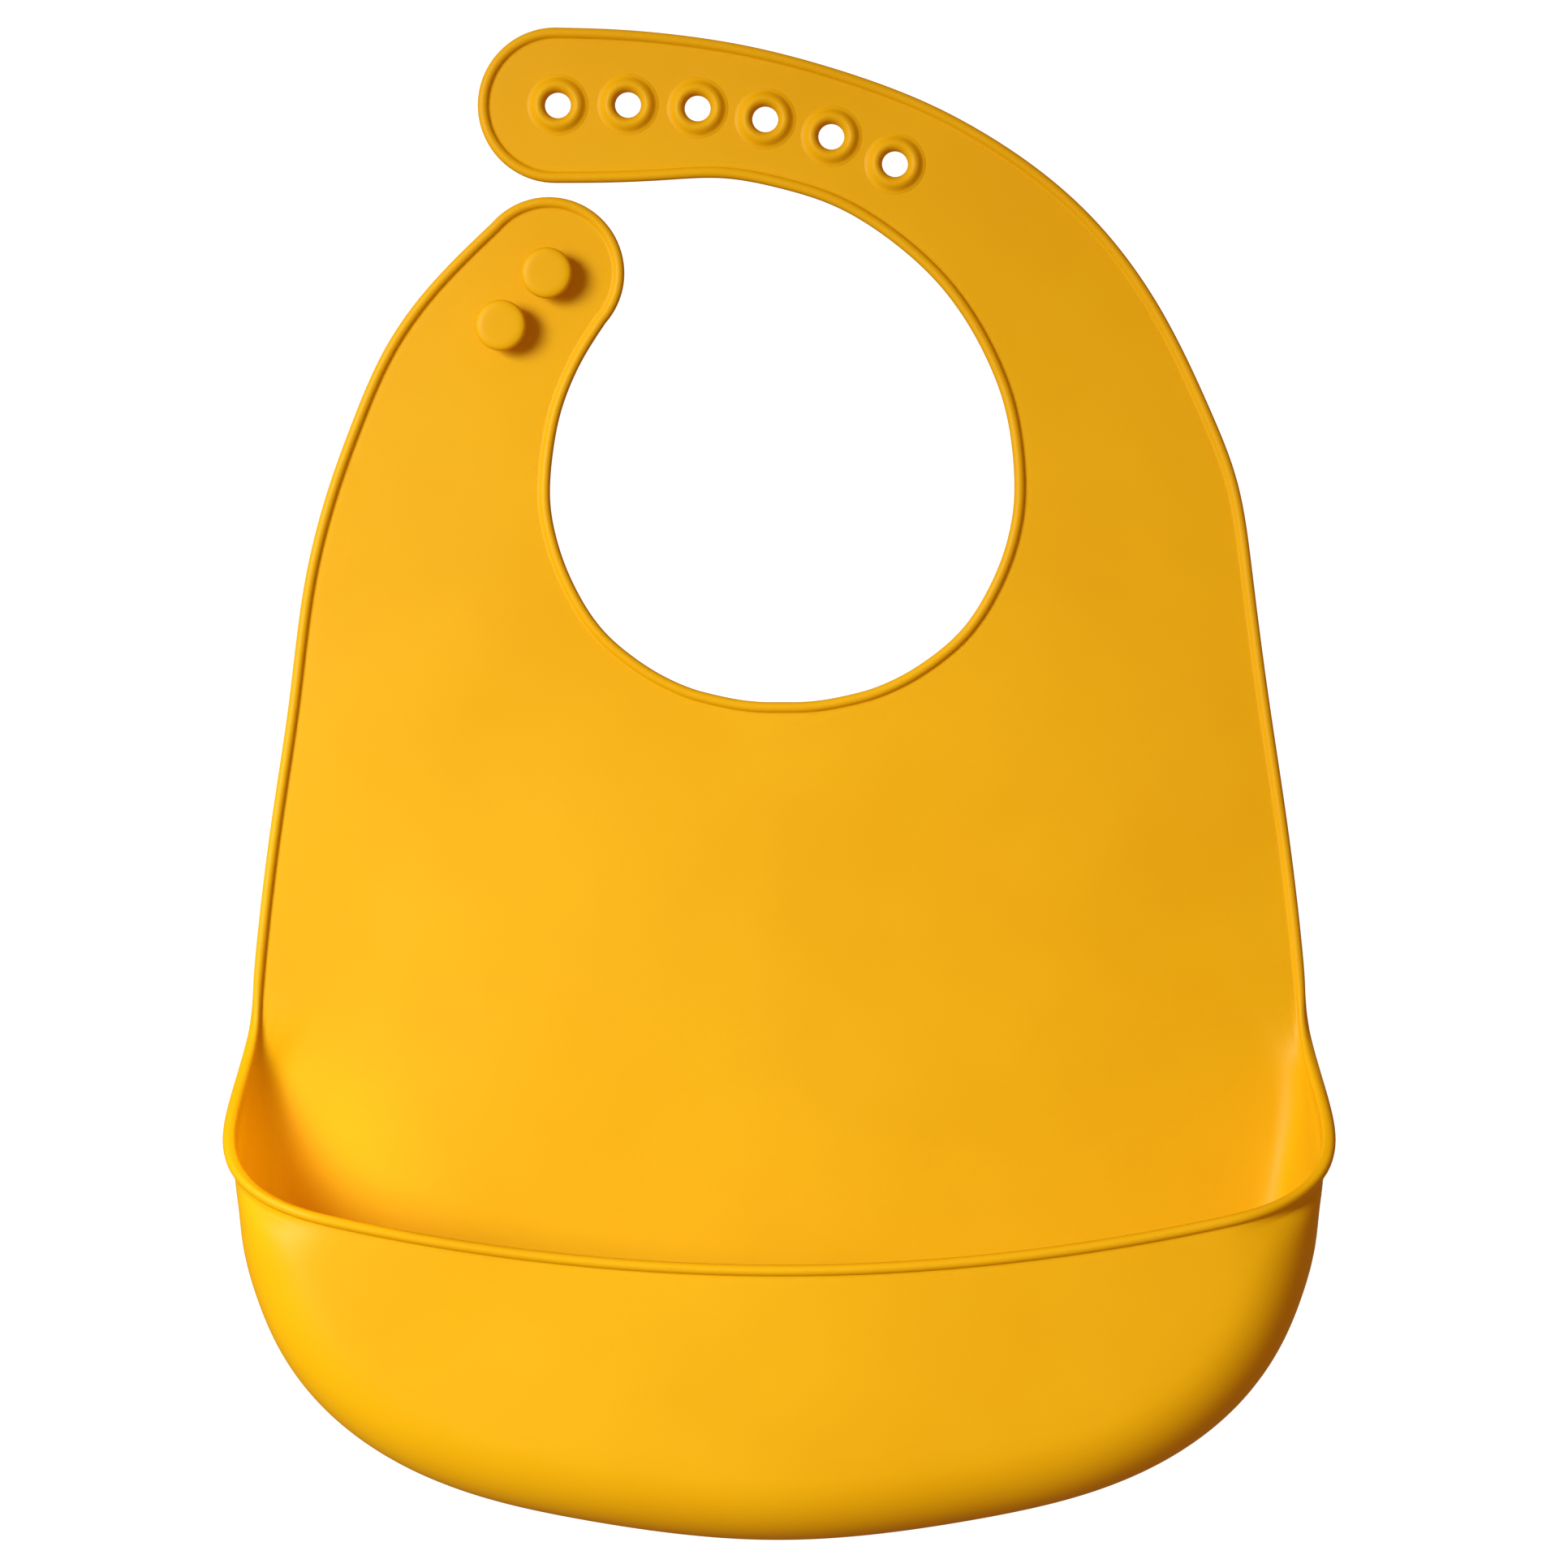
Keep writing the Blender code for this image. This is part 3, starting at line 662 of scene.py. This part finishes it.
def silicone_material():
    material = bpy.data.materials.new("mustard_silicone")
    material.use_nodes = True
    tree = Tree(material.node_tree)
    surface = material.node_tree.nodes["Principled BSDF"]
    place = tree.add("ShaderNodeTexCoord", output="Object")

    def noise(size_mm, detail=2.0, rough=0.5):
        sockets = {"Vector": place, "Scale": 1000 / size_mm, "Detail": detail, "Roughness": rough}
        return tree.add("ShaderNodeTexNoise", {}, sockets)

    clouds = (noise(CLOUD_SIZE, 3.0) - 0.35) * 2.2
    blotch = (noise(BLOTCH_SIZE, 2.0) - 0.5) * 0.5
    tint = (clouds + blotch).clipped()
    base = tree.add("ShaderNodeMix", {"data_type": "RGBA"},
                    {"Factor": tint, 6: MUSTARD, 7: MUSTARD_DEEP}, 2)
    cells = tree.add("ShaderNodeTexVoronoi", {}, {"Vector": place, "Scale": 1000 / DUST_SPACING})
    rare = noise(DUST_DRIFT, 0.0)
    dot = [(0.0, 1.0), (0.016, 0.75), (0.03, 0.0)]
    dust = tree.add("ShaderNodeValToRGB", {"stops": dot}, {0: cells})
    chosen = tree.add("ShaderNodeValToRGB", {"stops": [(0.60, 0.0), (0.64, 1.0)]}, {0: rare})
    speck = dust * chosen * 0.5
    colour = tree.add("ShaderNodeMix", {"data_type": "RGBA"}, {"Factor": speck, 6: base, 7: SPECK}, 2)
    grain = noise(GRAIN_SIZE, 3.0, 0.6)
    fine = noise(FINE_GRAIN_SIZE, 2.0)
    rough = SATIN + (grain - 0.5) * 0.16 + (clouds - 0.5) * 0.04
    relief = grain * 0.6 + fine * 0.4
    bump = tree.add("ShaderNodeBump", {}, {"Strength": 0.16, "Distance": 0.12 * MM, "Height": relief})
    links = material.node_tree.links
    links.new(colour.socket, surface.inputs["Base Color"])
    links.new(rough.socket, surface.inputs["Roughness"])
    links.new(bump.socket, surface.inputs["Normal"])
    surface.inputs["Specular IOR Level"].default_value = 0.24
    surface.inputs["IOR"].default_value = 1.41
    return material


silicone = silicone_material()
print("material:", silicone.name, len(silicone.node_tree.nodes), "nodes")

# %% [markdown]
# Holes first: the strap needs a real hole under each collar. A plain round cutter takes it out; the
# hole is wider than the bore, so its raw edge is hidden inside the collar.

# %% Punching the strap
BORE = 5.2               # the collar's throat
PUNCH_RADIUS = 3.9
PUNCH_LENGTH = 12


def punch(piece, centre):
    bm = bmesh.new()
    bmesh.ops.create_cone(bm, cap_ends=True, segments=64, radius1=PUNCH_RADIUS * MM,
                          radius2=PUNCH_RADIUS * MM, depth=PUNCH_LENGTH * MM)
    bmesh.ops.translate(bm, verts=bm.verts, vec=(centre[0] * MM, centre[1] * MM, 0))
    cutter = new_piece("punch", bm)
    cut = piece.modifiers.new("punch", "BOOLEAN")
    cut.object, cut.operation, cut.solver = cutter, "DIFFERENCE", "EXACT"
    bake(piece)
    bpy.data.objects.remove(cutter)


def bake(piece):
    """Turns a piece's modifiers into plain mesh."""
    bpy.context.view_layer.update()
    graph = bpy.context.evaluated_depsgraph_get()
    mesh = bpy.data.meshes.new_from_object(piece.evaluated_get(graph))
    mesh.name = piece.name
    piece.modifiers.clear()
    piece.data = mesh


COLLAR_GROUPS = {"long_tip_bend": (1, 2, 3), "long_middle_bend": (4, 5), "long_inner_bend": (6,)}
for owner, numbers in COLLAR_GROUPS.items():
    for n in numbers:
        punch(pieces[owner], eyelet_place[n])
    print(owner, "punched", len(numbers))

# %% [markdown]
# Collars and studs are turned shapes that repeat, so a Geometry Nodes tree makes them. A grid is
# wrapped round an axis: one direction is the turn, the other follows a profile held in two Float
# Curves, one for the radius and one for the height. The ring is then placed on every point.

# %% Turned pieces
TURNED_INPUTS = (("Largest radius", "NodeSocketFloat"), ("Tallest", "NodeSocketFloat"),
                 ("Turns", "NodeSocketInt"), ("Rows", "NodeSocketInt"), ("Finish", "NodeSocketMaterial"))


def start_tree(name, inputs):
    """A Geometry Nodes tree with a geometry input and output and the named inputs."""
    group = bpy.data.node_groups.new(name, "GeometryNodeTree")
    group.interface.new_socket("Geometry", in_out="INPUT", socket_type="NodeSocketGeometry")
    for label, kind in inputs:
        group.interface.new_socket(label, in_out="INPUT", socket_type=kind)
    group.interface.new_socket("Geometry", in_out="OUTPUT", socket_type="NodeSocketGeometry")
    tree = Tree(group)
    entry = group.nodes.new("NodeGroupInput")
    wires = {socket.name: Wire(tree, socket) for socket in entry.outputs if socket.name}
    return group, tree, wires


def end_tree(group, tree, shape, finish):
    """Gives the shape its material and links it to the tree's output."""
    coated = tree.add("GeometryNodeSetMaterial", {}, {"Geometry": shape, "Material": finish})
    last = group.nodes.new("NodeGroupOutput")
    group.links.new(coated.socket, last.inputs[0])


def even_profile(outline, rounds=3):
    """Rounds a profile's corners by cutting them, and spreads it over 0..1 by length."""
    line = np.array(outline, float)
    for _ in range(rounds):
        quarter = line[:-1] * 0.75 + line[1:] * 0.25
        three = line[:-1] * 0.25 + line[1:] * 0.75
        line = np.vstack([line[:1], np.stack([quarter, three], axis=1).reshape(-1, 2), line[-1:]])
    length = np.concatenate([[0], np.cumsum(np.linalg.norm(np.diff(line, axis=0), axis=1))])
    return length / length[-1], line


def turned_tree(name, outline, turns, rows_round):
    """The tree for one turned shape; outline is (radius, height) from top to bottom."""
    group, tree, given = start_tree(name, TURNED_INPUTS)
    place, line = even_profile(outline)
    reach, top = line[:, 0].max(), line[:, 1].max()
    grid = tree.add("GeometryNodeMeshGrid", {}, {"Size X": 1.0, "Size Y": 1.0,
                                                 "Vertices X": given["Turns"], "Vertices Y": given["Rows"]})
    spot = tree.add("GeometryNodeInputPosition")
    turn = (tree.part(spot, "X") + 0.5) * (2 * math.pi)
    down = tree.part(spot, "Y") + 0.5
    radius_curve = list(zip(place.tolist(), (line[:, 0] / reach).tolist()))
    height_curve = list(zip(place.tolist(), (line[:, 1] / top).tolist()))
    radius = tree.add("ShaderNodeFloatCurve", {"curve": radius_curve}, {1: down}) * given["Largest radius"]
    height = tree.add("ShaderNodeFloatCurve", {"curve": height_curve}, {1: down}) * given["Tallest"]
    around = tree.add("ShaderNodeCombineXYZ", {}, {0: radius * turn.math("COSINE"),
                                                   1: radius * turn.math("SINE"), 2: height})
    wrapped = tree.add("GeometryNodeSetPosition", {}, {"Geometry": grid, "Position": around})
    closed = tree.add("GeometryNodeMergeByDistance", {}, {"Geometry": wrapped, "Distance": 0.00002})
    smooth = tree.add("GeometryNodeSetShadeSmooth", {}, {"Geometry": closed})
    placed = tree.add("GeometryNodeInstanceOnPoints", {}, {"Points": given["Geometry"], "Instance": smooth})
    real = tree.add("GeometryNodeRealizeInstances", {}, {"Geometry": placed})
    end_tree(group, tree, real, given["Finish"])
    sizes = {"Largest radius": reach * MM, "Tallest": top * MM, "Turns": turns, "Rows": rows_round}
    return group, sizes


def set_inputs(modifier, group, values):
    """Sets a modifier's inputs by each socket's identifier."""
    for socket in group.interface.items_tree:
        if socket.in_out == "INPUT" and socket.name in values:
            modifier[socket.identifier] = values[socket.name]


def turn_pieces(name, tree_and_sizes, centres):
    group, sizes = tree_and_sizes
    points = bpy.data.meshes.new(name)
    points.from_pydata([(x * MM, y * MM, 0) for x, y in centres], [], [])
    piece = bpy.data.objects.new(name, points)
    object_collection.objects.link(piece)
    modifier = piece.modifiers.new("turned", "NODES")
    modifier.node_group = group
    set_inputs(modifier, group, {**sizes, "Finish": silicone})
    bake(piece)
    face_outwards(piece)
    return piece


def face_outwards(piece):
    bm = bmesh.new()
    bm.from_mesh(piece.data)
    bmesh.ops.remove_doubles(bm, verts=bm.verts, dist=0.00001)
    bmesh.ops.recalc_face_normals(bm, faces=bm.faces)
    bm.to_mesh(piece.data)
    bm.free()
    piece.data.shade_smooth()


# %% [markdown]
# The collar's profile goes from the throat over its crest, out onto the strap, and back underneath,
# so it closes on itself. The stud is a cap on a short waist that flares where it meets the strap.

# %% Collars and studs
TURNS, COLLAR_ROWS, STUD_ROWS = 73, 61, 73
COLLAR_WALL = [(0, 0.9), (0, 1.5), (0.25, 2.3), (0.7, 2.95), (1.4, 3.25), (2.1, 2.95), (2.6, 2.35),
               (3.0, 1.95), (3.7, 1.82), (3.7, 1.5), (2.4, 1.2), (1.6, 0.6), (1.4, 0.08), (0.5, 0.04),
               (0, 0.3), (0, 0.9)]
COLLAR = [(BORE / 2 + out, height) for out, height in COLLAR_WALL]
STUD = [(0, 7.78), (2.4, 7.8), (4.0, 7.76), (4.85, 7.4), (5.1, 6.7), (5.1, 6.1), (4.85, 5.5),
        (4.1, 5.2), (3.2, 5.1), (2.75, 4.7), (2.7, 3.2), (2.8, 2.5), (3.3, 2.0), (4.1, 1.82),
        (4.1, 1.2), (0, 1.2)]
collar_tree = turned_tree("eyelet_collars", COLLAR, TURNS, COLLAR_ROWS)
stud_tree = turned_tree("strap_studs", STUD, TURNS, STUD_ROWS)
for owner, numbers in COLLAR_GROUPS.items():
    name = owner.replace("bend", "collars")
    pieces[name] = turn_pieces(name, collar_tree, [eyelet_place[n] for n in numbers])
    print(name, len(pieces[name].data.polygons), "faces")
pieces["studs"] = turn_pieces("studs", stud_tree, list(stud_place.values()))
print("studs", len(pieces["studs"].data.polygons), "faces")

# %% [markdown]
# A silicone sheet never lies dead flat: it rises by up to a millimetre or so in broad swells. One
# Geometry Nodes tree lifts every piece by the same slow noise of its place, so neighbouring pieces
# still meet.

# %% Lying on the table
SWELL_HEIGHT = 1.3
SWELL_SIZE = 75.0
SWELL_SEED = 0.37
SWELL_INPUTS = (("Height", "NodeSocketFloat"), ("Scale", "NodeSocketFloat"),
                ("Seed", "NodeSocketFloat"), ("Finish", "NodeSocketMaterial"))


def swell_tree():
    group, tree, given = start_tree("table_swell", SWELL_INPUTS)
    spot = tree.add("GeometryNodeInputPosition")
    flat = tree.add("ShaderNodeCombineXYZ", {}, {0: tree.part(spot, "X"), 1: tree.part(spot, "Y"),
                                                 2: given["Seed"]})
    wave = tree.add("ShaderNodeTexNoise", {}, {"Vector": flat, "Scale": given["Scale"], "Detail": 1.0})
    lift = ((wave - 0.3) * 1.6).clipped() * given["Height"]
    offset = tree.add("ShaderNodeCombineXYZ", {}, {2: lift})
    moved = tree.add("GeometryNodeSetPosition", {}, {"Geometry": given["Geometry"], "Offset": offset})
    real = tree.add("GeometryNodeRealizeInstances", {}, {"Geometry": moved})
    end_tree(group, tree, real, given["Finish"])
    return group


swell = swell_tree()
for piece in pieces.values():
    modifier = piece.modifiers.new("swell", "NODES")
    modifier.node_group = swell
    set_inputs(modifier, swell, {"Height": SWELL_HEIGHT * MM, "Scale": 1000 / SWELL_SIZE,
                                 "Seed": SWELL_SEED, "Finish": silicone})
    bake(piece)
    if not piece.data.materials:
        piece.data.materials.append(silicone)
print("pieces lifted:", len(pieces))

# %% [markdown]
# Each length crosses one joint. The points on both sides of its hinge are found, but no length is
# blended between the two bodies, and neither are the collars: every piece is baked where it lies.
# The real pocket's wall folds up like a bellows when its front is pressed; here it too stays in
# place. Only the studs are joined to a body, and the parts that the pieces stand for are hidden.

# %% Placing the pieces
FOLD_HALF = 10.5         # half the length of skin that takes up each kind of bend
SHOULDER_HALF = 11.0
NAPE_HALF = 10.0
STRAP_HALF = 6.5


def across_joint(name, half):
    """Start and end points on both sides of a hinge, square to its axis."""
    joint = joints[name]
    point = np.array(joint["pos_m"])
    way = np.cross(np.array(joint["axis"]), UP)
    return point, way / np.linalg.norm(way) * half * MM


def bend(piece, joint_name, half, toward):
    """Finds the points on both sides of a hinge, toward being a point on the child's side, and bakes the
    piece where it lies; nothing is blended.
    """
    point, way = across_joint(joint_name, half)
    if way @ (np.array([*toward, 0]) * MM - point) < 0:
        way = -way
    tuple(point - way)
    tuple(point + way)
    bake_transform(piece)


BENDS = [
    ("apron", "apron_fold", FOLD_HALF, (0, 60)),
    ("long_shoulder_bend", "long_strap_curl", SHOULDER_HALF, (70, 90)),
    ("long_nape_bend", "long_nape_flex", NAPE_HALF, (45, 110)),
    ("long_inner_bend", "long_inner_flex", STRAP_HALF, (0, 135)),
    ("long_inner_collars", "long_inner_flex", STRAP_HALF, (0, 135)),
    ("long_middle_bend", "long_middle_flex", STRAP_HALF, (-15, 134)),
    ("long_middle_collars", "long_middle_flex", STRAP_HALF, (-15, 134)),
    ("long_tip_bend", "long_tip_flex", STRAP_HALF, (-45, 135)),
    ("long_tip_collars", "long_tip_flex", STRAP_HALF, (-45, 135)),
    ("short_shoulder_bend", "short_strap_curl", SHOULDER_HALF, (-68, 90)),
    ("short_end_bend", "short_end_flex", STRAP_HALF, (-50, 105)),
]
for name, joint_name, half, toward in BENDS:
    bend(pieces[name], joint_name, half, toward)
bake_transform(pieces["pocket"])
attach(pieces["studs"], "short_end")
REPLACED = {
    "apron": ("apron_lower_panel", "apron_upper_panel"),
    "pocket": ("pocket_gusset", "pocket_front_wall"),
    "long_shoulder_bend": ("long_strap_shoulder",),
    "long_nape_bend": ("long_strap_nape",),
    "long_inner_bend": ("long_strap_end_inner",),
    "long_middle_bend": ("long_strap_end_middle",),
    "long_tip_bend": ("long_strap_tip",),
    "long_tip_collars": ("eyelet_rim_1", "eyelet_rim_2", "eyelet_rim_3"),
    "long_middle_collars": ("eyelet_rim_4", "eyelet_rim_5"),
    "long_inner_collars": ("eyelet_rim_6",),
    "short_shoulder_bend": ("short_strap_shoulder",),
    "short_end_bend": ("short_strap_end",),
    "studs": ("stud_upper", "stud_lower"),
}
for name, nodes in REPLACED.items():
    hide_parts(*nodes)
print("pieces joined:", len(REPLACED))

# %% [markdown]
# The backdrop is a plain white sheet with enough light of its own to stay white. It lies well below
# the bib, so that a strap that curls down or an apron that folds back never reaches it. It is hidden
# from bounced and mirrored light, so only the room and the lamps light the silicone.

# %% Backdrop
BACKDROP_DROP = 0.30     # metres below the bib: more than a folded apron reaches
bm = bmesh.new()
bmesh.ops.create_grid(bm, x_segments=1, y_segments=1, size=12.0)
bmesh.ops.translate(bm, verts=bm.verts, vec=(0, 0, -BACKDROP_DROP))
floor = new_piece("white_backdrop", bm)
paper = bpy.data.materials.new("white_paper")
paper.use_nodes = True
sheet = paper.node_tree.nodes["Principled BSDF"]
sheet.inputs["Base Color"].default_value = (0.12, 0.12, 0.12, 1)
sheet.inputs["Roughness"].default_value = 0.9
sheet.inputs["Specular IOR Level"].default_value = 0.1
sheet.inputs["Emission Color"].default_value = (1, 1, 1, 1)
sheet.inputs["Emission Strength"].default_value = 1.0
floor.data.materials.append(paper)
floor.visible_diffuse = False
floor.visible_glossy = False
print("backdrop:", BACKDROP_DROP, "m below")

# %% [markdown]
# One soft key shines from the upper left, aimed at the pocket's left end and held to a narrow cone, so
# the right side falls off and every bead shows. A small warm card beside the pocket's left corner and
# a dim warm room stand in for the light that soaks through silicone.

# %% Light


def soft_box(name, place, aim, size, watts, spread, colour=(1, 1, 1)):
    """A square lamp at a place in metres, aimed at a point, its light held to a cone in degrees."""
    lamp = bpy.data.lights.new(name, "AREA")
    lamp.size, lamp.energy, lamp.spread, lamp.color = size, watts, math.radians(spread), colour
    box = bpy.data.objects.new(name, lamp)
    box.location = place
    box.rotation_euler = (Vector(aim) - Vector(place)).to_track_quat("-Z", "Y").to_euler()
    box.visible_camera = False
    bpy.context.scene.collection.objects.link(box)


ROOM_COLOUR = (1.0, 0.50, 0.16, 1)
ROOM_STRENGTH = 0.33
soft_box("key", (-0.74, 0.20, 0.92), (-0.13, -0.13, 0), 0.50, 1.80, 52)
soft_box("corner_card", (-0.070, -0.050, 0.045), (-0.102, -0.084, 0.012), 0.03, 0.0034, 70,
         (1.0, 0.60, 0.06))
room = bpy.data.worlds.new("room")
bpy.context.scene.world = room
room.use_nodes = True
room.node_tree.nodes["Background"].inputs["Color"].default_value = ROOM_COLOUR
room.node_tree.nodes["Background"].inputs["Strength"].default_value = ROOM_STRENGTH
bpy.context.scene.view_settings.view_transform = "Standard"

# %% [markdown]
# The camera looks straight down from arm's length. Its lens follows from how much of the sheet's
# plane has to fit across the frame.

# %% Camera
CAMERA_HEIGHT = 1.05     # metres above the sheet
VIEW_WIDTH = 0.3159      # metres across the frame at the sheet
CAMERA_X, CAMERA_Y = 0.00097, -0.00178
camera = bpy.data.objects.new("camera", bpy.data.cameras.new("camera"))
camera.data.sensor_width = 36
camera.data.lens = camera.data.sensor_width * CAMERA_HEIGHT / VIEW_WIDTH
camera.location = (CAMERA_X, CAMERA_Y, CAMERA_HEIGHT)
bpy.context.scene.collection.objects.link(camera)
bpy.context.scene.camera = camera
print("lens:", round(camera.data.lens, 1))
